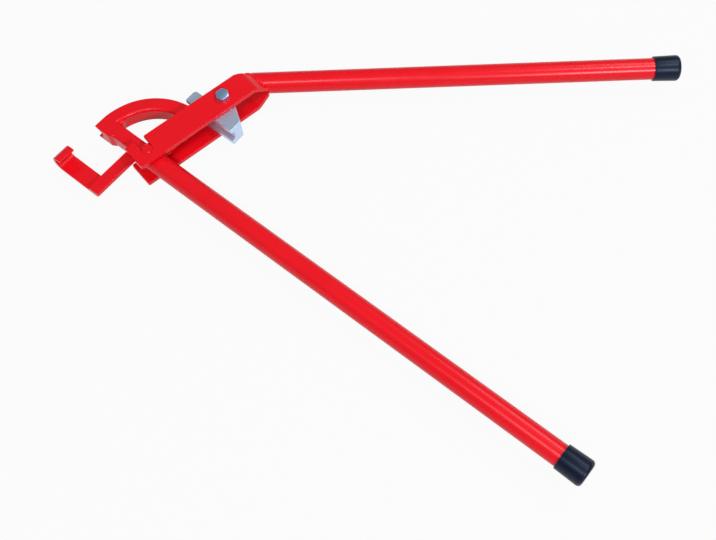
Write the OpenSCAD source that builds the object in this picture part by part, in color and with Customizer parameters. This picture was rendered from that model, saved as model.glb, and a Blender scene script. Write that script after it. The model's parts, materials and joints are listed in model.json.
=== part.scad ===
// Lever bender for pipe: a grooved quadrant on a fixed handle, and a forked
// lever that hooks over the pivot pin and carries a rocking guide shoe.
// It stands at the end of a right-angle bend. Sizes are in millimetres.
// X runs along the fixed handle, Y along the straight side, and Z is up.

/* [Pipe] */
// Outside diameter of the pipe that the grooves take
pipe_d = 15; // [12:0.5:18]
// Radius of the bend, at the middle of the pipe
bend_r = 69; // [60:1:85]
// Radial room between the pipe and its grooves
groove_play = 0.1; // [0.05:0.05:0.3]

/* [Former] */
// How far the flanges reach past the middle of the pipe
flange_lip = 1; // [0:0.5:2]
// Wall beside the groove in each flange
flange_t = 2.4; // [2:0.2:4]
// Wall between the groove and the window
rim_wall = 6.9; // [5:0.1:9]
// Width of the two spokes
spoke_w = 16.5; // [12:0.5:18]
// Straight lead-in before the bend starts
foot_len = 11; // [9:0.5:14]
// Depth of the lead-in, inwards from the edge of the flanges
foot_depth = 20; // [17:1:24]
// Run of the slope from the lead-in down to the spoke
foot_slope = 5; // [3:1:8]
// Diameter of the hub
hub_d = 21; // [19:0.5:24]
// How far the round boss of the fixed tube reaches behind the pivot
boss_back = 8; // [4:0.5:9]
// Fillet where the spokes meet the rim
web_fillet = 7; // [2:0.5:9]
// Rounding of the casting's edges
cast_round = 3.5; // [1.5:0.5:5]
// Rounding of the flanges' outer edges
lip_round = 0.8; // [0.4:0.1:1]

/* [Pivot] */
// Diameter of the pivot pin
pin_d = 12; // [10:0.5:14]
// Chamfer on the ends of the pin
pin_chamfer = 1; // [0.5:0.1:1.5]
// Radial room for the pin in the fork's slots
pin_fit = 0.05; // [0.02:0.01:0.1]
// Room between the hub and each fork plate
side_play = 0.3; // [0.2:0.1:0.6]

/* [Hook] */
// Distance from the pivot to the middle of the hook
hook_y = 55.5; // [45:0.5:70]
// Width of the hook strip
strip_w = 20; // [14:0.5:24]
// Thickness of the hook strip
strip_t = 3.1; // [2.5:0.1:4]
// How far the hook's lip passes the top of the pipe, in degrees
lip_angle = 22; // [10:1:35]
// How far the strip stops short of the arm's far edge
strip_short = 3; // [1:0.5:6]
// Distance from the pivot to the middle of the arm
arm_x = 21.5; // [20:0.5:26]
// Width of the arm
arm_w = 14; // [10:0.5:18]
// Thickness of the arm
arm_t = 5; // [4:0.5:6]

/* [Fork] */
// Width of the fork plates
plate_w = 31; // [26:0.5:36]
// Thickness of the fork plates
plate_t = 5; // [4:0.5:6]
// Room between the plates and the tube or the former
fork_clear = 2; // [0.7:0.1:3]
// Length of the plates behind the pivot
plate_tail = 17.5; // [14:0.5:22]
// Straight length of the plates past the shoe bolt
past_bolt = 31; // [26:0.5:36]
// Length over which the plates draw together
fork_taper = 16.5; // [14:0.5:22]
// Gap between the drawn-in tips of the plates
tip_gap = 2; // [0.5:0.5:4]
// Inside radius of the bend in each plate
plate_bend_r = 8; // [4:1:14]
// Radius of the corners behind the pivot
tail_round = 2; // [1:0.5:5]
// Length of the corner cut off outside the lever's elbow
corner_run = 22; // [16:1:28]
// Width of that corner
corner_in = 8; // [4:0.5:11]
// Angle of the fork from the fixed handle
fork_angle = 79; // [75:0.5:85]
// Angle between the fork and the lever's tube
elbow_angle = 39; // [30:0.5:45]

/* [Handles] */
// Outside diameter of both tubes
tube_d = 23; // [20:0.5:26]
// Wall of both tubes
tube_wall = 2; // [1.5:0.1:3]
// Length of the fixed handle from the pivot to the end of its cap
fixed_reach = 541; // [400:1:700]
// Length of the lever's tube from the fork to the end of its cap
lever_reach = 454; // [350:1:600]
// Wall that closes the slanted end of the lever's tube
slant_wall = 4; // [2:0.5:8]
// Distance from the pivot to the start of the fixed tube
tube_start = 22; // [19:0.5:28]
// Length of the spigot inside the fixed tube
spigot_len = 35; // [20:1:60]
// Radial room of the spigot in the tube
spigot_fit = 0.05; // [0.02:0.01:0.2]

/* [Caps] */
// Length of the end caps
cap_len = 28; // [20:0.5:40]
// Wall of the end caps at their open end
cap_wall = 1.6; // [1.2:0.1:3]
// How much the caps swell towards their closed end
cap_swell = 0.6; // [0:0.1:1.5]
// Thickness of the closed end
cap_end = 3; // [2:0.5:5]
// Rounding of the closed end
cap_round = 4; // [2:0.5:6]
// Radial room of the cap on the tube
cap_fit = 0.05; // [0.02:0.01:0.2]

/* [Shoe] */
// Length of the guide shoe
shoe_len = 65; // [50:1:80]
// Distance from the middle of the pipe to the shoe bolt
shoe_depth = 27.5; // [25:0.5:34]
// Distance from the middle of the pipe to the back of the shoe's ends
shoe_back = 18; // [14:0.5:20]
// Radius of the lug round the bolt
lug_r = 10; // [9:0.5:12]
// Rounding of the corner behind the shoe's far end
end_round = 3.5; // [2:0.5:6]
// Gap between the shoe and the former's flanges
shoe_clear = 1.5; // [1:0.1:2.5]
// Room between the shoe and each fork plate
shoe_play = 0.5; // [0.3:0.1:1]

/* [Bolt] */
// Thread diameter of the shoe bolt
bolt_d = 8; // [6:1:10]
// Size across the flats of the bolt's head and nut
hex_af = 13; // [12:0.5:17]
// Height of the bolt's head
head_h = 5.3; // [4:0.1:7]
// Height of the nut
nut_h = 6.8; // [5:0.1:9]
// Length of thread that shows past the nut
thread_past = 1.5; // [0.5:0.5:4]
// Diameter of the washer under the nut
washer_d = 16; // [14:0.5:20]
// Thickness of the washer
washer_t = 1.6; // [1:0.1:2.5]
// Diameter of the sleeve on which the shoe rocks
sleeve_d = 12; // [11:0.5:14]
// Radial room of the bolt in its plain holes
bolt_play = 0.2; // [0.1:0.05:0.4]
// Radial room of the bolt's thread in the nut
thread_fit = 0.05; // [0.02:0.01:0.1]
// Radial room of the shoe on its sleeve
shoe_fit = 0.05; // [0.02:0.01:0.1]

/* [Hidden] */
$fn = 96;

// A little extra for cuts that run past a face
past = 1;

coat_red = "#e81c24";
cap_black = "#1b1e27";
zinc = "#b4c0cf";

// Former
groove_r = pipe_d / 2 + groove_play;
flange_r = bend_r + flange_lip;
rim_inner_r = bend_r - groove_r - rim_wall;
former_t = 2 * (groove_r + flange_t);
cast_reach = rim_inner_r + (rim_wall + cast_round) / 2;
pin_r = pin_d / 2;

// Fork, measured from the pivot along the plates
fork_gap = max(tube_d, former_t) + 2 * fork_clear;
hub_t = fork_gap - 2 * side_play;
fork_t = fork_gap + 2 * plate_t;
shoe_t = fork_gap - 2 * shoe_play;
bolt_reach = (bend_r + shoe_depth) / sin(fork_angle);
bend_start = bolt_reach + past_bolt;
fork_len = bend_start + fork_taper;
draw_angle = atan((fork_gap - tip_gap) / 2 / fork_taper);
tip_out = tip_gap / 2 + plate_t / cos(draw_angle);

// Hook
hook_r = groove_r + strip_t;
arm_end = hook_y + strip_w / 2;
arm_edge = arm_x - arm_w / 2;

// Handles and caps
tube_bore_r = tube_d / 2 - tube_wall;
cap_mouth_r = tube_d / 2 + cap_fit + cap_wall;
cap_end_r = cap_mouth_r + cap_swell;

// Bolt
hex_r = hex_af / 2 / cos(30);
bolt_low = fork_t / 2 + washer_t + nut_h + thread_past;

// The part's box, which puts the origin under its middle
lever_angle = fork_angle - elbow_angle;
box_left = -bend_r - hook_r;
box_front = -arm_end;
box_back = fork_len * sin(fork_angle) + (lever_reach - cap_round) * sin(lever_angle)
    + (cap_end_r - cap_round) * cos(lever_angle) + cap_round;
origin_shift = [-(box_left + fixed_reach) / 2, -(box_front + box_back) / 2, bolt_low];

// Puts pieces that are drawn round the pivot into the part's frame
module placed() translate(origin_shift) children();

// The lever is drawn along X and turned to its angle
module on_lever() placed() rotate([0, 0, fork_angle]) children();

// The bolt's place on the lever
module on_bolt() on_lever() translate([bolt_reach, 0, 0]) children();

// The lever's tube is drawn along X from the tips of the fork, and turned to the elbow's angle
module past_elbow() translate([fork_len, 0, 0]) rotate([0, 0, -elbow_angle]) children();

// A cylinder along X
module rod_x(r, x0, x1) translate([x0, 0, 0]) rotate([0, 90, 0]) cylinder(r = r, h = x1 - x0);

// What a round of radius r takes off a square corner; the corner is at the origin, the stock along +X +Y
module corner_waste(r) difference() {
    translate([-past, -past]) square(r + past);
    translate([r, r]) circle(r);
}

// A hexagon prism with flats across hex_af
module hexagon(h) cylinder(r = hex_r, h = h, $fn = 6);

// The rim's section, out from the pivot and up: the groove, its flanges and a rounded inner side
module rim_section() difference() {
    translate([rim_inner_r, -former_t / 2]) square([flange_r - rim_inner_r, former_t]);
    translate([bend_r, 0]) circle(groove_r);
    for (side = [0, 1]) mirror([0, side]) {
        translate([rim_inner_r, -former_t / 2]) corner_waste(cast_round);
        translate([flange_r, -former_t / 2]) mirror([1, 0]) corner_waste(lip_round);
    }
}

// The rim, from the lead-in round to the far side of the second spoke
module rim() mirror([1, 0, 0])
    rotate_extrude(angle = 180 - acos(spoke_w / 2 / rim_inner_r)) rim_section();

// The straight lead-in, with the rim's section, and the web that slopes from it to the spoke
module lead_in() {
    translate([0, -foot_len, 0]) rotate([90, 0, 180]) linear_extrude(foot_len) rim_section();
    linear_extrude(former_t, center = true) polygon([
        [-cast_reach, 0], [-cast_reach, -foot_len], [-flange_r + foot_depth, -foot_len],
        [-flange_r + foot_depth + foot_slope, -spoke_w / 2], [-flange_r + foot_depth + foot_slope, 0]
    ]);
}

// A spoke along -X with rounded edges, and a fillet in the window's corner
module spoke() {
    away = spoke_w / 2 + web_fillet;
    centre_x = sqrt(pow(rim_inner_r - web_fillet, 2) - pow(away, 2));
    rotate([90, 0, -90]) linear_extrude(cast_reach) difference() {
        square([spoke_w, former_t], center = true);
        for (side = [0, 1], end = [0, 1]) mirror([side, 0]) mirror([0, end])
            translate([-spoke_w / 2, -former_t / 2]) corner_waste(cast_round);
    }
    linear_extrude(former_t - 2 * cast_round, center = true) difference() {
        translate([-rim_inner_r - past, 0]) square([rim_inner_r + past - centre_x, away]);
        translate([-centre_x, away]) circle(web_fillet);
    }
}

// The casting: rim, lead-in, two spokes alike, hub, and a round boss and spigot for the fixed tube
module bending_former() color(coat_red) placed() difference() {
    union() {
        rim();
        lead_in();
        spoke();
        mirror([1, 1, 0]) spoke();
        cylinder(d = hub_d, h = hub_t, center = true);
        rod_x(tube_d / 2, -boss_back, tube_start);
        rod_x(tube_bore_r - spigot_fit, tube_start - past, tube_start + spigot_len);
    }
    cylinder(r = pin_r, h = hub_t + past, center = true);
}

module pivot_pin() color(coat_red) placed() rotate_extrude() polygon([
    [0, -fork_t / 2], [pin_r - pin_chamfer, -fork_t / 2], [pin_r, -fork_t / 2 + pin_chamfer],
    [pin_r, fork_t / 2 - pin_chamfer], [pin_r - pin_chamfer, fork_t / 2], [0, fork_t / 2]
]);

// A flat bar from the spoke's side to the hook strip, which it lies on
module hook_arm() color(coat_red) placed()
    translate([-arm_x - arm_w / 2, -arm_end, -groove_r])
        cube([arm_w, arm_end - spoke_w / 2, arm_t]);

// The strip's section, in X and Z: under the pipe, round its outer side and over the top
module hook_section() {
    translate([-bend_r, -hook_r]) square([bend_r - arm_edge - strip_short, strip_t]);
    translate([-bend_r, 0]) difference() {
        circle(hook_r);
        circle(groove_r);
        polygon([
            [0, 0], 3 * hook_r * [sin(lip_angle), cos(lip_angle)], 3 * hook_r * [1, 0],
            3 * hook_r * [1, -1], 3 * hook_r * [0, -1]
        ]);
    }
}

module pipe_hook() color(coat_red) placed()
    translate([0, -hook_y + strip_w / 2, 0]) rotate([90, 0, 0]) linear_extrude(strip_w) hook_section();

module fixed_handle() color(coat_red) placed() difference() {
    rod_x(tube_d / 2, tube_start, fixed_reach - cap_end);
    rod_x(tube_bore_r, tube_start - past, fixed_reach);
}

// The wedge between the outer faces of the drawn-in plates, from their tips back past the tube's start
module fork_wedge() rotate([90, 0, 0]) linear_extrude(4 * tube_d, center = true) {
    back = 3 * tube_d;
    back_out = tip_out + back * tan(draw_angle);
    polygon([[fork_len, -tip_out], [fork_len, tip_out], [fork_len - back, back_out], [fork_len - back, -back_out]]);
}

// The lever's tube: its mouth fits over the wedge of the fork, and a wall square to the fork closes it
module lever_handle() color(coat_red) on_lever() difference() {
    past_elbow() rod_x(tube_d / 2, -tube_d, lever_reach - cap_end);
    fork_wedge();
    difference() {
        past_elbow() rod_x(tube_bore_r, -tube_d, lever_reach);
        translate([fork_len + slant_wall - 4 * tube_d, -2 * tube_d, -2 * tube_d]) cube(4 * tube_d);
    }
}

// A push-on cap, drawn with its closed end at X = reach
module end_cap(reach) translate([reach, 0, 0]) rotate([0, -90, 0]) rotate_extrude() difference() {
    union() {
        polygon([
            [0, 0], [cap_end_r - cap_round, 0], [cap_end_r - cap_round, cap_round], [cap_end_r, cap_round],
            [cap_mouth_r, cap_len], [0, cap_len]
        ]);
        intersection() {
            translate([cap_end_r - cap_round, cap_round]) circle(cap_round);
            square([cap_end_r, cap_round]);
        }
    }
    translate([-past, cap_end]) square([tube_d / 2 + cap_fit + past, cap_len]);
}

module fixed_handle_cap() color(cap_black) placed() end_cap(fixed_reach);

module lever_handle_cap() color(cap_black) on_lever() past_elbow() end_cap(lever_reach);

// The plate from the side, in X and Z: straight over the head, then drawn in to the tube
module plate_side() {
    low = fork_gap / 2;
    turn = plate_bend_r * tan(draw_angle / 2);
    arc = [for (i = [0:8]) draw_angle * i / 8];
    centre = [bend_start - turn, low - plate_bend_r];
    outer_r = plate_bend_r + plate_t;
    polygon(concat(
        [[-plate_tail, low], [-plate_tail, low + plate_t]],
        [for (a = arc) centre + outer_r * [sin(a), cos(a)]],
        [[fork_len, tip_out], [fork_len, tip_gap / 2]],
        [for (i = [8:-1:0]) centre + plate_bend_r * [sin(arc[i]), cos(arc[i])]]
    ));
}

// The plate from above: an open slot for the pin, and a hole for the bolt
module plate_plan() difference() {
    translate([-plate_tail, -plate_w / 2]) square([plate_tail + fork_len, plate_w]);
    circle(pin_r + pin_fit);
    translate([-pin_r - pin_fit, 0]) square([2 * (pin_r + pin_fit), plate_w]);
    translate([bolt_reach, 0]) circle(bolt_d / 2 + bolt_play);
    for (side = [0, 1]) mirror([0, side])
        translate([-plate_tail, -plate_w / 2]) corner_waste(tail_round);
    translate([fork_len, plate_w / 2]) polygon([
        [-corner_run, 0], [0, -corner_in], [past, -corner_in], [past, past], [-corner_run, past]
    ]);
}

module fork_plate() intersection() {
    linear_extrude(fork_t) plate_plan();
    translate([0, plate_w, 0]) rotate([90, 0, 0]) linear_extrude(2 * plate_w) plate_side();
}

module upper_fork_plate() color(coat_red) on_lever() fork_plate();

module lower_fork_plate() color(coat_red) on_lever() mirror([0, 0, 1]) fork_plate();

module shoe_bolt() color(zinc) on_bolt() {
    translate([0, 0, fork_t / 2]) hexagon(head_h);
    translate([0, 0, -bolt_low]) cylinder(d = bolt_d, h = bolt_low + fork_t / 2);
}

module shoe_sleeve() color(zinc) on_bolt() difference() {
    cylinder(d = sleeve_d, h = fork_gap, center = true);
    cylinder(r = bolt_d / 2 + bolt_play, h = fork_gap + past, center = true);
}

module nut_washer() color(zinc) on_bolt() translate([0, 0, -fork_t / 2 - washer_t]) difference() {
    cylinder(d = washer_d, h = washer_t);
    translate([0, 0, -past]) cylinder(r = bolt_d / 2 + bolt_play, h = washer_t + 2 * past);
}

module shoe_nut() color(zinc) on_bolt() translate([0, 0, -bolt_low + thread_past]) difference() {
    hexagon(nut_h);
    translate([0, 0, -past]) cylinder(r = bolt_d / 2 + thread_fit, h = nut_h + 2 * past);
}

// The shoe from above, round its bolt: a straight front, a lug, a bar to one side and a slope to the other
module shoe_plan() {
    front = -shoe_depth + flange_lip + shoe_clear;
    back = -shoe_depth + shoe_back;
    half = shoe_len / 2;
    touch_angle = atan2(back, half) + acos(lug_r / norm([half, back]));
    touch = lug_r * [cos(touch_angle), sin(touch_angle)];
    circle(lug_r);
    difference() {
        polygon([
            [-half, front], [half, front], [half, back], touch, [-lug_r, 0], [-lug_r, back], [-half, back]
        ]);
        translate([-half, back]) mirror([0, 1]) corner_waste(end_round);
    }
}

module guide_shoe() color(zinc) placed()
    translate([bolt_reach * cos(fork_angle), bolt_reach * sin(fork_angle), 0]) difference() {
        linear_extrude(shoe_t, center = true) shoe_plan();
        translate([0, -shoe_depth, 0]) rod_x(groove_r, -shoe_len, shoe_len);
        cylinder(r = sleeve_d / 2 + shoe_fit, h = shoe_t + past, center = true);
    }

bending_former();
pivot_pin();
hook_arm();
pipe_hook();
fixed_handle();
fixed_handle_cap();
upper_fork_plate();
lower_fork_plate();
lever_handle();
lever_handle_cap();
shoe_bolt();
shoe_sleeve();
nut_washer();
shoe_nut();
guide_shoe();
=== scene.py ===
import json
from math import asin, cos, pi, radians, sin, tan

import bmesh
import bpy
from mathutils import Matrix, Vector


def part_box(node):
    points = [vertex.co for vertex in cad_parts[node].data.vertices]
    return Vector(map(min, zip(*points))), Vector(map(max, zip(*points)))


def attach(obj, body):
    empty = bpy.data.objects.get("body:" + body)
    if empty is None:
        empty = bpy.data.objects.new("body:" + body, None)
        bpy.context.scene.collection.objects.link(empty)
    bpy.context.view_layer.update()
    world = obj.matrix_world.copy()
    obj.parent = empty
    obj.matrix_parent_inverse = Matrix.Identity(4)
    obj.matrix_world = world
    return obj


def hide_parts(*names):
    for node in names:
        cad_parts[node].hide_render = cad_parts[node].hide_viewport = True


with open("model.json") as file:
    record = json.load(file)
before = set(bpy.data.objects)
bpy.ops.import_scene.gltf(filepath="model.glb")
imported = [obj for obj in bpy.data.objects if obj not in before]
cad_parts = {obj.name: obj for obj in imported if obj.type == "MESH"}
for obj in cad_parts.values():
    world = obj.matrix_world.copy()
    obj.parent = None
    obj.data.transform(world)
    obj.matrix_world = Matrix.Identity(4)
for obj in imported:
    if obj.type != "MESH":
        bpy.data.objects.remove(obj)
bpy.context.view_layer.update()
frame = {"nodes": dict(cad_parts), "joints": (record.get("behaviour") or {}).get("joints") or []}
scene = bpy.context.scene
mm = 0.001
up = Vector((0, 0, 1))


def reach(node, origin, direction):
    # least and greatest distance of a CAD node from a point, along a direction
    steps = [(v.co - origin).dot(direction) for v in frame["nodes"][node].data.vertices]
    return min(steps), max(steps)


# the two joints give the places that everything else hangs on
jointSpots = {joint["name"]: Vector(joint["pos_m"]) for joint in frame["joints"]}
pivot = jointSpots["lever_swing"]
boltSpot = jointSpots["shoe_tilt"]
fixedAxis = Vector((1, 0, 0))
alongFork = (boltSpot - pivot).normalized()
tubeRadius = reach("fixed_handle", pivot, up)[1]
print("stage: frame loaded,", len(frame["nodes"]), "nodes")

# camera, at the photograph's angle
cameraView = {
    "azimuth": -47.43,
    "elevation": 64.12,
    "roll": -4.18,
    "focalPx": 950,
    "framePx": (716, 540),
    "pivotPx": (150.83, 158.02),  # where the middle of the pivot pin lies in the picture
    "pivotDepth": 0.99952,
    "sensor": 36,
    "nearest": 0.01,
}


def placeCamera(view):
    az, el, roll = (radians(view[key]) for key in ("azimuth", "elevation", "roll"))
    forward = -Vector((cos(el) * cos(az), cos(el) * sin(az), sin(el)))
    level = forward.cross(up).normalized()
    above = level.cross(forward)
    right = cos(roll) * level + sin(roll) * above
    top = cos(roll) * above - sin(roll) * level
    width, height = view["framePx"]
    perPixel = view["pivotDepth"] / view["focalPx"]
    sideways = (view["pivotPx"][0] - width / 2) * perPixel
    upwards = (height / 2 - view["pivotPx"][1]) * perPixel
    spot = pivot - sideways * right - upwards * top - view["pivotDepth"] * forward
    data = bpy.data.cameras.new("photoCamera")
    data.sensor_fit = "HORIZONTAL"
    data.sensor_width = view["sensor"]
    data.lens = view["focalPx"] / width * view["sensor"]
    data.clip_start = view["nearest"]
    camera = bpy.data.objects.new("photoCamera", data)
    camera.matrix_world = Matrix((
        (right.x, top.x, -forward.x, spot.x),
        (right.y, top.y, -forward.y, spot.y),
        (right.z, top.z, -forward.z, spot.z),
        (0, 0, 0, 1),
    ))
    scene.collection.objects.link(camera)
    scene.camera = camera


placeCamera(cameraView)
print("stage: camera placed")


# node helpers, for shaders and geometry alike
def addNode(tree, kind, links=None, **settings):
    node = tree.nodes.new(kind)
    for key, value in settings.items():
        setattr(node, key, value)
    for key, value in (links or {}).items():
        socket = node.inputs[key]
        if isinstance(value, bpy.types.NodeSocket):
            tree.links.new(value, socket)
        else:
            socket.default_value = value
    return node


def addSockets(tree, direction, sockets):
    for label, kind in sockets.items():
        tree.interface.new_socket(label, in_out=direction, socket_type="NodeSocket" + kind)


def mapRange(tree, value, source, target):
    return addNode(tree, "ShaderNodeMapRange", {
        "Value": value, "From Min": source[0], "From Max": source[1],
        "To Min": target[0], "To Max": target[1]}).outputs[0]


def mixColours(tree, factor, first, second):
    # inputs 6 and 7 of a Mix node are its colours, and output 2 is the colour that it gives
    mix = addNode(tree, "ShaderNodeMix", {"Factor": factor, 6: first, 7: second}, data_type="RGBA")
    return mix.outputs[2]


# effects that the finishes share
edgeEffect = {
    "samples": 4,
    "lean": (0.99, 0.8),  # cosines of the rounded edge's lean at which the effect starts and is full
    "detail": 4.0,
    "roughness": 0.65,
    "patches": (0.42, 0.62),  # noise levels between which a patch grows
    "strength": (0.15, 1.0),  # between the patches, and on them
}
mottleEffect = {"broadDetail": 2.0, "fineDetail": 3.0, "fineRoughness": 0.6}
noiseSpan = (0.3, 0.7)  # most of a noise lies between these


def makeEdgeGroup(effect):
    # 1 along outer edges, 0 on open faces, broken up by noise
    tree = bpy.data.node_groups.new("edgeThinning", "ShaderNodeTree")
    addSockets(tree, "INPUT", {"Radius": "Float", "Breakup": "Float"})
    addSockets(tree, "OUTPUT", {"Mask": "Float"})
    entry = tree.nodes.new("NodeGroupInput")
    leave = tree.nodes.new("NodeGroupOutput")
    rounded = addNode(tree, "ShaderNodeBevel", {"Radius": entry.outputs["Radius"]}, samples=effect["samples"])
    flat = tree.nodes.new("ShaderNodeNewGeometry")
    facing = addNode(tree, "ShaderNodeVectorMath", {0: rounded.outputs[0], 1: flat.outputs["Normal"]},
                     operation="DOT_PRODUCT")
    edge = mapRange(tree, facing.outputs["Value"], effect["lean"], (0.0, 1.0))
    place = tree.nodes.new("ShaderNodeTexCoord")
    noise = addNode(tree, "ShaderNodeTexNoise", {
        "Vector": place.outputs["Object"], "Scale": entry.outputs["Breakup"],
        "Detail": effect["detail"], "Roughness": effect["roughness"]})
    patches = mapRange(tree, noise.outputs["Fac"], effect["patches"], effect["strength"])
    mask = addNode(tree, "ShaderNodeMath", {0: edge, 1: patches}, operation="MULTIPLY")
    tree.links.new(mask.outputs[0], leave.inputs["Mask"])
    return tree


def makeMottleGroup(effect):
    # slow and fine variation, each from 0 to 1, and a height for bump
    tree = bpy.data.node_groups.new("surfaceMottle", "ShaderNodeTree")
    addSockets(tree, "INPUT", {"Broad Scale": "Float", "Fine Scale": "Float"})
    addSockets(tree, "OUTPUT", {"Broad": "Float", "Fine": "Float", "Height": "Float"})
    entry = tree.nodes.new("NodeGroupInput")
    leave = tree.nodes.new("NodeGroupOutput")
    place = tree.nodes.new("ShaderNodeTexCoord").outputs["Object"]
    broad = addNode(tree, "ShaderNodeTexNoise", {
        "Vector": place, "Scale": entry.outputs["Broad Scale"], "Detail": effect["broadDetail"]})
    fine = addNode(tree, "ShaderNodeTexNoise", {
        "Vector": place, "Scale": entry.outputs["Fine Scale"],
        "Detail": effect["fineDetail"], "Roughness": effect["fineRoughness"]})
    grain = addNode(tree, "ShaderNodeTexVoronoi", {
        "Vector": place, "Scale": entry.outputs["Fine Scale"]}, feature="SMOOTH_F1")
    height = addNode(tree, "ShaderNodeMath", {0: grain.outputs["Distance"], 1: fine.outputs["Fac"]},
                     operation="ADD")
    tree.links.new(broad.outputs["Fac"], leave.inputs["Broad"])
    tree.links.new(fine.outputs["Fac"], leave.inputs["Fine"])
    tree.links.new(height.outputs[0], leave.inputs["Height"])
    return tree


edgeThinning = makeEdgeGroup(edgeEffect)
surfaceMottle = makeMottleGroup(mottleEffect)

# the finishes: the colour wanders from deep to bright, and changes along the edges
redCoatLook = {
    "deep": (0.78, 0.0045, 0.0115, 1),
    "bright": (0.84, 0.0055, 0.0135, 1),
    "edge": (0.62, 0.0040, 0.0110, 1),  # where the coat draws back
    "broadScale": 28,
    "fineScale": 900,
    "edgeRadius": 0.7 * mm,
    "edgeBreakup": 90,
    "gloss": (0.24, 0.30),
    "glossNoise": "Broad",
    "bumpDepth": 0.001 * mm,
    "shader": {
        "Specular IOR Level": 0.30,
        "Specular Tint": (0.84, 0.88, 1.00, 1),  # the lamps' reflections are a little cool
    },
}
capLook = {
    "deep": (0.0018, 0.0038, 0.0150, 1),
    "bright": (0.0034, 0.0066, 0.0220, 1),
    "edge": (0.0034, 0.0066, 0.0220, 1),  # scuffed
    "broadScale": 60,
    "fineScale": 1400,
    "edgeRadius": 1.2 * mm,
    "edgeBreakup": 160,
    "gloss": (0.33, 0.40),
    "glossNoise": "Fine",
    "bumpDepth": 0.004 * mm,
    "shader": {
        "Specular IOR Level": 0.30,
        "Specular Tint": (0.60, 0.74, 1.00, 1),  # painted cool tint on the rubber's reflections, in place of cool light
    },
}
boltZincLook = {
    "deep": (0.31, 0.49, 0.75, 1),
    "bright": (0.40, 0.62, 0.92, 1),
    "edge": (0.62, 0.78, 0.95, 1),  # rubbed
    "broadScale": 140,
    "fineScale": 700,
    "edgeRadius": 0.5 * mm,
    "edgeBreakup": 200,
    "gloss": (0.28, 0.40),
    "glossNoise": "Fine",
    "bumpDepth": 0.005 * mm,
    "shader": {"Metallic": 0.9},
}
shoeZincLook = {
    **boltZincLook,  # the same plating, but paler and duller
    "deep": (0.52, 0.66, 0.88, 1),
    "bright": (0.64, 0.77, 0.95, 1),
    "edge": (0.78, 0.88, 0.98, 1),
    "gloss": (0.40, 0.55),
    "bumpDepth": 0.008 * mm,
}


def makeFinish(name, look):
    material = bpy.data.materials.new(name)
    material.use_nodes = True
    tree = material.node_tree
    shader = tree.nodes["Principled BSDF"]
    mottle = addNode(tree, "ShaderNodeGroup", {
        "Broad Scale": look["broadScale"], "Fine Scale": look["fineScale"]}, node_tree=surfaceMottle)
    edge = addNode(tree, "ShaderNodeGroup", {
        "Radius": look["edgeRadius"], "Breakup": look["edgeBreakup"]}, node_tree=edgeThinning)
    body = mixColours(tree, mottle.outputs["Broad"], look["deep"], look["bright"])
    colour = mixColours(tree, edge.outputs["Mask"], body, look["edge"])
    gloss = mapRange(tree, mottle.outputs[look["glossNoise"]], noiseSpan, look["gloss"])
    bump = addNode(tree, "ShaderNodeBump", {
        "Height": mottle.outputs["Height"], "Strength": 1.0, "Distance": look["bumpDepth"]})
    tree.links.new(colour, shader.inputs["Base Color"])
    tree.links.new(gloss, shader.inputs["Roughness"])
    tree.links.new(bump.outputs["Normal"], shader.inputs["Normal"])
    for label, value in look["shader"].items():
        shader.inputs[label].default_value = value
    return material


redCoat = makeFinish("redCoat", redCoatLook)
capRubber = makeFinish("capRubber", capLook)
boltZinc = makeFinish("boltZinc", boltZincLook)
shoeZinc = makeFinish("shoeZinc", shoeZincLook)
print("stage: materials made")


# mesh helpers
def addPiece(name, mesh, body, material, *nodes):
    mesh.materials.clear()
    mesh.materials.append(material)
    piece = bpy.data.objects.new(name, mesh)
    scene.collection.objects.link(piece)
    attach(piece, body)
    if nodes:
        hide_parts(*nodes)


def meshFrom(bm, name, sharpAngle=35):
    bmesh.ops.recalc_face_normals(bm, faces=bm.faces)
    mesh = bpy.data.meshes.new(name)
    bm.to_mesh(mesh)
    bm.free()
    mesh.shade_smooth()
    mesh.set_sharp_from_angle(angle=radians(sharpAngle))
    return mesh


def settle(holder):
    # the mesh that an object's modifiers make, without the object
    bpy.context.view_layer.update()
    evaluated = holder.evaluated_get(bpy.context.evaluated_depsgraph_get())
    mesh = bpy.data.meshes.new_from_object(evaluated)
    bpy.data.objects.remove(holder)
    return mesh


def hold(mesh):
    holder = bpy.data.objects.new(mesh.name, mesh)
    scene.collection.objects.link(holder)
    return holder


mergeLimits = {
    "gap": 0.002 * mm,
    "bend": 0.3,  # degrees up to which two faces are one flat face
}


def mergedCopy(node, core=None):
    # a copy of a CAD node whose flat faces are whole, with an inner core if one is given
    bm = bmesh.new()
    bm.from_mesh(frame["nodes"][node].data)
    bmesh.ops.remove_doubles(bm, verts=bm.verts, dist=mergeLimits["gap"])
    bmesh.ops.dissolve_limit(bm, angle_limit=radians(mergeLimits["bend"]), verts=bm.verts, edges=bm.edges)
    if core:
        bm.from_mesh(core)
    mesh = bpy.data.meshes.new(node + "Soft")
    bm.to_mesh(mesh)
    bm.free()
    return mesh


def bevelledCopy(node, edge, segments=3, limit=28, faceWeight=100):
    # a plate or strip with its edges rounded
    plain = mergedCopy(node)
    plain.shade_smooth()
    holder = hold(plain)
    bevel = holder.modifiers.new("edges", "BEVEL")
    bevel.width = edge
    bevel.segments = segments
    bevel.limit_method = "ANGLE"
    bevel.angle_limit = radians(limit)
    bevel.use_clamp_overlap = False
    bevel.loop_slide = False  # sliding folds the faces round a bore
    bevel.miter_outer = "MITER_ARC"
    flat = holder.modifiers.new("flat", "WEIGHTED_NORMAL")  # keeps the flat faces flat in shading
    flat.mode = "FACE_AREA"
    flat.weight = faceWeight
    flat.keep_sharp = True
    return settle(holder)


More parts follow.
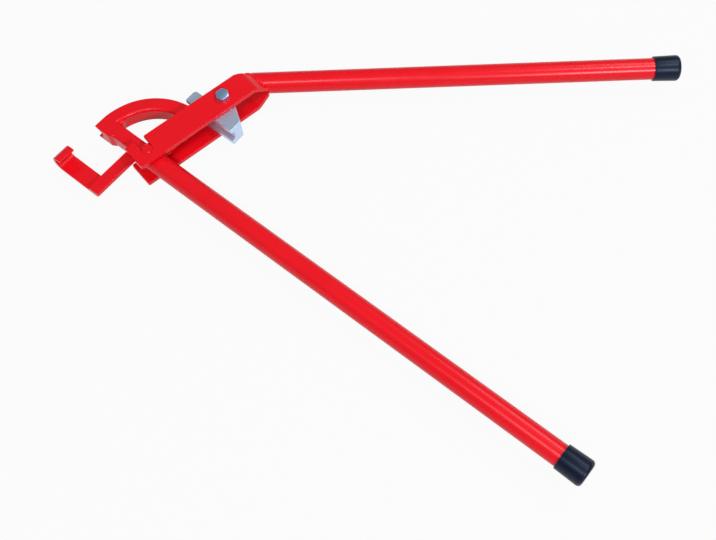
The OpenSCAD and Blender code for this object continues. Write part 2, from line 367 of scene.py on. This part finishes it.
def castCopy(node, grain, passes, softness=0.5, core=None):
    # a casting's soft edges: the node remeshed finely, then smoothed
    holder = hold(mergedCopy(node, core))
    remesh = holder.modifiers.new("skin", "REMESH")
    remesh.mode = "VOXEL"
    remesh.voxel_size = grain
    smooth = holder.modifiers.new("soften", "SMOOTH")
    smooth.factor = softness
    smooth.iterations = passes
    mesh = settle(holder)
    mesh.shade_smooth()
    return mesh


def turned(profile, start, axis, name, side=None, steps=96, lean=None, leaning=0, looped=False):
    # a body of revolution, from (along, radius) pairs or functions of the angle that give them;
    # lean shifts the first rings along the axis, as a slanted cut does, and looped closes it over a bore
    side = (side or axis.cross(up)).normalized()
    other = axis.cross(side)
    bm = bmesh.new()
    rings = []
    for index, entry in enumerate(profile):
        ring = []
        for step in range(steps):
            turn = 2 * pi * step / steps
            along, radius = entry(turn) if callable(entry) else entry
            out = radius * (cos(turn) * side + sin(turn) * other)
            shift = lean(out) if index < leaning else 0
            ring.append(bm.verts.new(start + out + (along + shift) * axis))
            if radius == 0:
                break
        rings.append(ring)
    pairs = list(zip(rings, rings[1:])) + ([(rings[-1], rings[0])] if looped else [])
    for low, high in pairs:
        for step in range(steps):
            after = (step + 1) % steps
            corners = [low[step % len(low)], low[after % len(low)],
                       high[after % len(high)], high[step % len(high)]]
            bm.faces.new(list(dict.fromkeys(corners)))
    return meshFrom(bm, name)


def arcPoints(centre, radius, first, last, count):
    # (along, radius) pairs on an arc between two angles in degrees
    turns = [radians(first + (last - first) * i / count) for i in range(count + 1)]
    return [(centre[0] + radius * cos(turn), centre[1] + radius * sin(turn)) for turn in turns]


def ringProfile(low, high, bore, outer, edge):
    # a plain ring with its outer edges rounded
    return ([(low, bore)] + arcPoints((low + edge, outer - edge), edge, 180, 90, count=4)
            + arcPoints((high - edge, outer - edge), edge, 90, 0, count=4) + [(high, bore)])


# weld beads: a rippled bead along each seam of a body
weldLook = {
    "bead": 1.1 * mm,
    "inset": 0.5 * mm,  # how deep the middle of a bead lies in the tube
    "ripple": 2.6 * mm,
    "unevenness": 0.12,
    "taper": 4 * mm,  # how long a bead takes to reach its full size
    "stub": 0.25,  # the share of that size at which it starts
    "lastTurn": 128,  # degrees round the tube at which its bead ends, past the cut corner of a plate
    "cornerRun": (1.5 * mm, 11 * mm),  # where the bead on the cut corner starts and ends, from the tip
    "step": 0.4 * mm,
    "rounding": 20,  # passes that ease the line of a seam round its corners
    "sides": 12,
    "seamPoints": 40,
    "join": 0.01 * mm,  # points of a seam that are closer than this are one
    "finish": redCoat,
}


def liveSocket(sockets, label):
    # of the sockets with that name, the one that the node's data type uses
    return next(socket for socket in sockets if socket.name == label and socket.enabled)


def makeWeldTree():
    tree = bpy.data.node_groups.new("weldBead", "GeometryNodeTree")
    addSockets(tree, "INPUT", {"Seam": "Geometry", "Bead": "Float", "Ripple": "Float", "Unevenness": "Float",
                               "Taper": "Float", "Stub": "Float", "Step": "Float", "Rounding": "Int",
                               "Sides": "Int", "Finish": "Material"})
    addSockets(tree, "OUTPUT", {"Weld": "Geometry"})
    entry = tree.nodes.new("NodeGroupInput")
    leave = tree.nodes.new("NodeGroupOutput")

    def calc(operation, first, second=0.0):
        return addNode(tree, "ShaderNodeMath", {0: first, 1: second}, operation=operation).outputs[0]

    path = addNode(tree, "GeometryNodeMeshToCurve", {"Mesh": entry.outputs["Seam"]})
    even = addNode(tree, "GeometryNodeResampleCurve", {
        "Curve": path.outputs["Curve"], "Length": entry.outputs["Step"]}, mode="LENGTH")
    spot = tree.nodes.new("GeometryNodeInputPosition")
    eased = addNode(tree, "GeometryNodeBlurAttribute", data_type="FLOAT_VECTOR")
    tree.links.new(spot.outputs["Position"], liveSocket(eased.inputs, "Value"))
    tree.links.new(entry.outputs["Rounding"], eased.inputs["Iterations"])
    line = addNode(tree, "GeometryNodeSetPosition", {
        "Geometry": even.outputs["Curve"], "Position": liveSocket(eased.outputs, "Value")})
    travel = tree.nodes.new("GeometryNodeSplineParameter")
    turns = calc("DIVIDE", travel.outputs["Length"], entry.outputs["Ripple"])
    wave = calc("ABSOLUTE", calc("SINE", calc("MULTIPLY", turns, pi)))
    swell = calc("ADD", calc("MULTIPLY", wave, entry.outputs["Unevenness"]), 1.0)
    whole = tree.nodes.new("GeometryNodeSplineLength")
    rest = calc("SUBTRACT", whole.outputs["Length"], travel.outputs["Length"])
    nearest = calc("MINIMUM", travel.outputs["Length"], rest)
    grown = calc("SQRT", calc("MINIMUM", calc("DIVIDE", nearest, entry.outputs["Taper"]), 1.0))
    fade = calc("MAXIMUM", grown, entry.outputs["Stub"])
    size = calc("MULTIPLY", calc("MULTIPLY", swell, fade), entry.outputs["Bead"])
    section = addNode(tree, "GeometryNodeCurvePrimitiveCircle", {
        "Resolution": entry.outputs["Sides"], "Radius": 1.0})
    bead = addNode(tree, "GeometryNodeCurveToMesh", {
        "Curve": line.outputs["Geometry"], "Profile Curve": section.outputs["Curve"],
        "Scale": size, "Fill Caps": True})
    soft = addNode(tree, "GeometryNodeSetShadeSmooth", {
        "Geometry": bead.outputs["Mesh"], "Shade Smooth": True})
    real = addNode(tree, "GeometryNodeRealizeInstances", {"Geometry": soft.outputs["Geometry"]})
    painted = addNode(tree, "GeometryNodeSetMaterial", {
        "Geometry": real.outputs["Geometry"], "Material": entry.outputs["Finish"]})
    tree.links.new(painted.outputs["Geometry"], leave.inputs["Weld"])
    return tree


weldTree = makeWeldTree()


def addWelds(name, body, look, *seams):
    # each seam is a list of points along it; a closed seam ends where it starts
    bm = bmesh.new()
    for seam in seams:
        spots = [bm.verts.new(spot) for spot in seam]
        for first, second in zip(spots, spots[1:]):
            bm.edges.new((first, second))
    bmesh.ops.remove_doubles(bm, verts=bm.verts, dist=look["join"])
    mesh = bpy.data.meshes.new(name + "Seams")
    bm.to_mesh(mesh)
    bm.free()
    holder = hold(mesh)
    maker = holder.modifiers.new("welds", "NODES")
    maker.node_group = weldTree
    for socket in weldTree.interface.items_tree:
        if socket.in_out == "INPUT" and socket.name.lower() in look:
            maker[socket.identifier] = look[socket.name.lower()]
    addPiece(name, settle(holder), body, look["finish"])


# the fixed side: casting, pin, hook and tube
castLook = {"grain": 0.75 * mm, "passes": 4}
tubeLook = {"wall": 2 * mm, "edge": 0.3 * mm, "insert": 6 * mm, "insertPlay": 0.15 * mm}
tubeStart, tubeEnd = reach("fixed_handle", pivot, fixedAxis)


def bossCore(look):
    # carries the round boss on inside the tube, so that the smoothed casting stays flush with it
    radius = tubeRadius - look["insertPlay"]
    low, high = tubeStart - look["insert"], tubeStart + look["insert"]
    return turned([(low, 0), (low, radius), (high, radius), (high, 0)], pivot, fixedAxis, "bossCore")


addPiece("formerCasting", castCopy("bending_former", core=bossCore(tubeLook), **castLook),
         "fixed_side", redCoat, "bending_former")

pinLook = {"chamfer": 1 * mm}


def makePin(look):
    low, high = reach("pivot_pin", pivot, up)
    radius = reach("pivot_pin", pivot, fixedAxis)[1]
    cut = look["chamfer"]
    profile = [(low, 0), (low, radius - cut), (low + cut, radius),
               (high - cut, radius), (high, radius - cut), (high, 0)]
    return turned(profile, pivot, up, "pivotPin", side=fixedAxis)


addPiece("pivotPin", makePin(pinLook), "fixed_side", redCoat, "pivot_pin")

barLook = {"armEdge": 0.8 * mm, "hookEdge": 0.6 * mm, "plateEdge": 0.6 * mm}
addPiece("hookArm", bevelledCopy("hook_arm", barLook["armEdge"]), "fixed_side", redCoat, "hook_arm")
addPiece("pipeHook", bevelledCopy("pipe_hook", barLook["hookEdge"]), "fixed_side", redCoat, "pipe_hook")


def makeFixedTube(look):
    bore = tubeRadius - look["wall"]
    edge = look["edge"]
    profile = [(tubeStart, bore), (tubeStart, tubeRadius), (tubeEnd - edge, tubeRadius),
               (tubeEnd, tubeRadius - edge), (tubeEnd, bore)]
    return turned(profile, pivot, fixedAxis, "fixedTube", looped=True)


addPiece("fixedTube", makeFixedTube(tubeLook), "fixed_side", redCoat, "fixed_handle")


def armSeams():
    # round the arm where it meets the spoke, and along both edges where it lies on the hook's strip
    armLow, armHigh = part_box("hook_arm")
    stripLow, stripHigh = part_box("pipe_hook")
    stripEnd = pivot.x + reach("pipe_hook", pivot, fixedAxis)[1]
    corners = [(armLow.x, armLow.z), (armHigh.x, armLow.z), (armHigh.x, armHigh.z), (armLow.x, armHigh.z)]
    root = [Vector((x, armHigh.y, z)) for x, z in corners + corners[:1]]
    along = [[Vector((x, y, armLow.z)) for y in (stripLow.y, stripHigh.y)] for x in (armLow.x, stripEnd)]
    return [root] + along


addWelds("fixedWelds", "fixed_side", weldLook, *armSeams())

# the lever: fork plates and tube
leverLayout = {
    "elbow": 39,  # degrees from the fork to the tube
    "drawIn": 37.15,  # degrees of slope where the plates are drawn in
    "onEdge": 0.05 * mm,  # a plate's corner that is this close to an outer edge lies on it
}
forkLength = reach("upper_fork_plate", pivot, alongFork)[1]
forkTip = pivot + forkLength * alongFork
leverAxis = Matrix.Rotation(radians(-leverLayout["elbow"]), 3, "Z") @ alongFork
acrossFork = up.cross(alongFork)
plateSide = reach("upper_fork_plate", pivot, acrossFork)[1]
plateSpots = [v.co - pivot for v in frame["nodes"]["upper_fork_plate"].data.vertices]
tipSpots = [spot for spot in plateSpots if spot.dot(alongFork) > forkLength - leverLayout["onEdge"]]
tipHeight = max(spot.z for spot in tipSpots)
tipSide = max(spot.dot(acrossFork) for spot in tipSpots)
sideSpots = [spot for spot in plateSpots if spot.dot(acrossFork) > plateSide - leverLayout["onEdge"]]
cutStart = max(spot.dot(alongFork) for spot in sideSpots)

for level in ("upper", "lower"):
    addPiece(level + "ForkPlate", bevelledCopy(level + "_fork_plate", barLook["plateEdge"]),
             "lever", redCoat, level + "_fork_plate")


def mouthLean(out):
    # how far the mouth of the lever's tube is cut back, so that it fits over the wedge of the fork
    climb = max(0, abs(out.z) - tipHeight) / tan(radians(leverLayout["drawIn"]))
    return -(out.dot(alongFork) + climb) / cos(radians(leverLayout["elbow"]))


def makeLeverTube(look):
    end = reach("lever_handle", forkTip, leverAxis)[1]
    bore = tubeRadius - look["wall"]
    edge = look["edge"]
    closed = 2 * tubeRadius  # the slanted end is solid as far in as the tube is wide
    profile = [(0, 0), (0, tipHeight), (0, tubeRadius), (end - edge, tubeRadius), (end, tubeRadius - edge),
               (end, bore), (closed, bore), (closed, 0)]
    return turned(profile, forkTip, leverAxis, "leverTube", lean=mouthLean, leaning=3)


addPiece("leverTube", makeLeverTube(tubeLook), "lever", redCoat, "lever_handle")


def mouthSeam(facing, look):
    # where one drawn-in plate meets the tube, from side to side
    first, last = asin(tipHeight / tubeRadius), radians(look["lastTurn"])
    sideways = leverAxis.cross(up)
    spots = []
    for i in range(look["seamPoints"] + 1):
        turn = first + (last - first) * i / look["seamPoints"]
        out = (tubeRadius - look["inset"]) * (cos(turn) * sideways + facing * sin(turn) * up)
        spots.append(forkTip + out + mouthLean(out) * leverAxis)
    return spots


def cornerSeam(facing, look):
    # along the cut corner of that plate, beside the tube's mouth
    spots = []
    for back in look["cornerRun"]:
        across = tipSide + (plateSide - tipSide) * back / (forkLength - cutStart)
        height = tipHeight + back * tan(radians(leverLayout["drawIn"]))
        spots.append(forkTip - back * alongFork + across * acrossFork + facing * height * up)
    return spots


addWelds("leverWelds", "lever", weldLook,
         *(seam(facing, weldLook) for seam in (mouthSeam, cornerSeam) for facing in (1, -1)))

# the end caps
capShape = {"wall": 1.6 * mm, "lip": 0.5 * mm, "round": 4 * mm, "swell": 0.6 * mm, "end": 3 * mm}


def makeCap(node, start, axis, name, shape):
    mouth, end = reach(node, start, axis)
    mouthRadius = tubeRadius + shape["wall"]
    endRadius = mouthRadius + shape["swell"]
    lip, rounding = shape["lip"], shape["round"]
    floor = end - shape["end"]
    profile = [(floor, 0), (floor, tubeRadius), (mouth, tubeRadius)]
    profile += arcPoints((mouth + lip, mouthRadius - lip), lip, 180, 90, count=5)
    profile += arcPoints((end - rounding, endRadius - rounding), rounding, 90, 0, count=12)
    profile += [(end, 0)]
    return turned(profile, start, axis, name)


addPiece("fixedCap", makeCap("fixed_handle_cap", pivot, fixedAxis, "fixedCap", capShape),
         "fixed_side", capRubber, "fixed_handle_cap")
addPiece("leverCap", makeCap("lever_handle_cap", forkTip, leverAxis, "leverCap", capShape),
         "lever", capRubber, "lever_handle_cap")

# the shoe's bolt, with its nut, washer and sleeve
boltShape = {
    "flats": 13 * mm,
    "crown": 6 * mm,  # radius of the flat inside the corner chamfers
    "chamfer": 30,  # degrees
    "thread": 8 * mm,
    "pitch": 1.25 * mm,
    "threadDepth": 0.65 * mm,
    "threadShown": 3.75 * mm,
    "rowsPerPitch": 8,
    "tipChamfer": 0.8 * mm,
    "bore": 4.2 * mm,
    "ringEdge": 0.3 * mm,
}


def hexRadius(turn):
    return boltShape["flats"] / 2 / cos(turn % (pi / 3) - pi / 6)


def hexCorner(level, inwards):
    # where a hexagon's sides end under the conical chamfer of a face
    def ring(turn):
        drop = max(0, hexRadius(turn) - boltShape["crown"]) * tan(radians(boltShape["chamfer"]))
        return level + inwards * drop, hexRadius(turn)
    return ring


def threadRing(level, limit):
    # one row of the thread: a triangle wave that climbs a pitch each turn
    def ring(turn):
        phase = (level / boltShape["pitch"] - turn / (2 * pi)) % 1
        depth = boltShape["threadDepth"] * abs(2 * phase - 1)
        return level, min(boltShape["thread"] / 2 - depth, limit)
    return ring


def makeBolt(shape):
    low, high = reach("shoe_bolt", boltSpot, up)
    seat = reach("upper_fork_plate", boltSpot, up)[1]
    radius = shape["thread"] / 2
    rows = shape["rowsPerPitch"] * round(shape["threadShown"] / shape["pitch"])
    profile = [(low, 0)]
    for row in range(rows + 1):
        rise = shape["threadShown"] * row / rows
        profile.append(threadRing(low + rise, radius - max(0, shape["tipChamfer"] - rise)))
    profile += [(low + shape["threadShown"] + shape["pitch"], radius), (seat, radius)]
    profile += [lambda turn: (seat, hexRadius(turn)), hexCorner(high, -1), (high, shape["crown"]), (high, 0)]
    return turned(profile, boltSpot, up, "shoeBolt", side=alongFork)


def makeNut(shape):
    low, high = reach("shoe_nut", boltSpot, up)
    bore = shape["thread"] / 2
    profile = [(low, bore), (low, shape["crown"]), hexCorner(low, 1),
               hexCorner(high, -1), (high, shape["crown"]), (high, bore)]
    return turned(profile, boltSpot, up, "shoeNut", side=alongFork, looped=True)


def makeRing(node, name, shape):
    low, high = reach(node, boltSpot, up)
    outer = reach(node, boltSpot, alongFork)[1]
    profile = ringProfile(low, high, shape["bore"], outer, shape["ringEdge"])
    return turned(profile, boltSpot, up, name, side=alongFork, looped=True)


addPiece("shoeBolt", makeBolt(boltShape), "lever", boltZinc, "shoe_bolt")
addPiece("shoeNut", makeNut(boltShape), "lever", boltZinc, "shoe_nut")
addPiece("nutWasher", makeRing("nut_washer", "nutWasher", boltShape), "lever", boltZinc, "nut_washer")
addPiece("shoeSleeve", makeRing("shoe_sleeve", "shoeSleeve", boltShape), "lever", boltZinc, "shoe_sleeve")

# the shoe
shoeLook = {"grain": 0.6 * mm, "passes": 6}
addPiece("guideShoe", castCopy("guide_shoe", **shoeLook), "shoe", shoeZinc, "guide_shoe")
print("stage: pieces made")

# floor and light
studio = {
    "floorSize": 24.0,
    "floorGrey": (0.45, 0.45, 0.45, 1),
    "cameraWhite": 0.94,  # how much of the white that the camera sees is free of shade
    "horizon": 1.0,
    "ceiling": 0.28,
    "horizonBand": (0.01, 0.12),  # heights between which the sky fades from the one to the other
}


def makeFloor(look):
    bm = bmesh.new()
    bmesh.ops.create_grid(bm, x_segments=1, y_segments=1, size=look["floorSize"] / 2)
    mesh = bpy.data.meshes.new("floor")
    bm.to_mesh(mesh)
    bm.free()
    floor = bpy.data.objects.new("floor", mesh)
    scene.collection.objects.link(floor)
    material = bpy.data.materials.new("floorWhite")
    material.use_nodes = True
    tree = material.node_tree
    tree.nodes.clear()
    output = tree.nodes.new("ShaderNodeOutputMaterial")
    matt = addNode(tree, "ShaderNodeBsdfDiffuse", {"Color": look["floorGrey"]})
    white = addNode(tree, "ShaderNodeEmission", {"Color": (1, 1, 1, 1), "Strength": 1.0})
    path = tree.nodes.new("ShaderNodeLightPath")
    seen = addNode(tree, "ShaderNodeMath", {
        0: path.outputs["Is Camera Ray"], 1: path.outputs["Is Glossy Ray"]}, operation="MAXIMUM")
    through = addNode(tree, "ShaderNodeMath", {
        0: seen.outputs[0], 1: path.outputs["Is Transmission Ray"]}, operation="MAXIMUM")
    share = addNode(tree, "ShaderNodeMath", {
        0: through.outputs[0], 1: look["cameraWhite"]}, operation="MULTIPLY")
    mix = addNode(tree, "ShaderNodeMixShader", {
        0: share.outputs[0], 1: matt.outputs[0], 2: white.outputs[0]})
    tree.links.new(mix.outputs[0], output.inputs["Surface"])
    material.cycles.emission_sampling = "NONE"  # the white is only seen, so no light is drawn from it
    mesh.materials.append(material)


def makeSky(look):
    # white at the horizon and darker overhead, as between a white sweep and a studio's ceiling
    world = bpy.data.worlds.new("studio")
    scene.world = world
    world.use_nodes = True
    tree = world.node_tree
    tree.nodes.clear()
    output = tree.nodes.new("ShaderNodeOutputWorld")
    place = tree.nodes.new("ShaderNodeTexCoord")
    parts = addNode(tree, "ShaderNodeSeparateXYZ", {0: place.outputs["Generated"]})
    level = mapRange(tree, parts.outputs["Z"], look["horizonBand"], (look["horizon"], look["ceiling"]))
    soft = addNode(tree, "ShaderNodeBackground", {"Color": (1, 1, 1, 1), "Strength": level})
    tree.links.new(soft.outputs[0], output.inputs["Surface"])


def addLamp(name, spot, size, power):
    data = bpy.data.lights.new(name, "AREA")
    data.shape = "ELLIPSE"
    data.size, data.size_y = size
    data.energy = power
    lamp = bpy.data.objects.new(name, data)
    lamp.location = spot
    lamp.rotation_euler = (-Vector(spot)).to_track_quat("-Z", "Y").to_euler()
    scene.collection.objects.link(lamp)


# each stands where its reflection runs along a tube as in the photograph
lamps = {
    "frontLamp": {"spot": (0.40, -1.20, 2.0), "size": (0.95, 0.35), "power": 13},
    "rightLamp": {"spot": (2.55, -1.30, 2.0), "size": (0.40, 0.40), "power": 46},
    "topLamp": {"spot": (0.74, 0.42, 2.0), "size": (0.45, 0.45), "power": 10},
    "backLamp": {"spot": (0.25, 1.40, 2.0), "size": (0.90, 0.70), "power": 12},
}

makeFloor(studio)
makeSky(studio)
for name, lamp in lamps.items():
    addLamp(name, **lamp)
scene.view_settings.view_transform = "Standard"
print("stage: floor and light set")
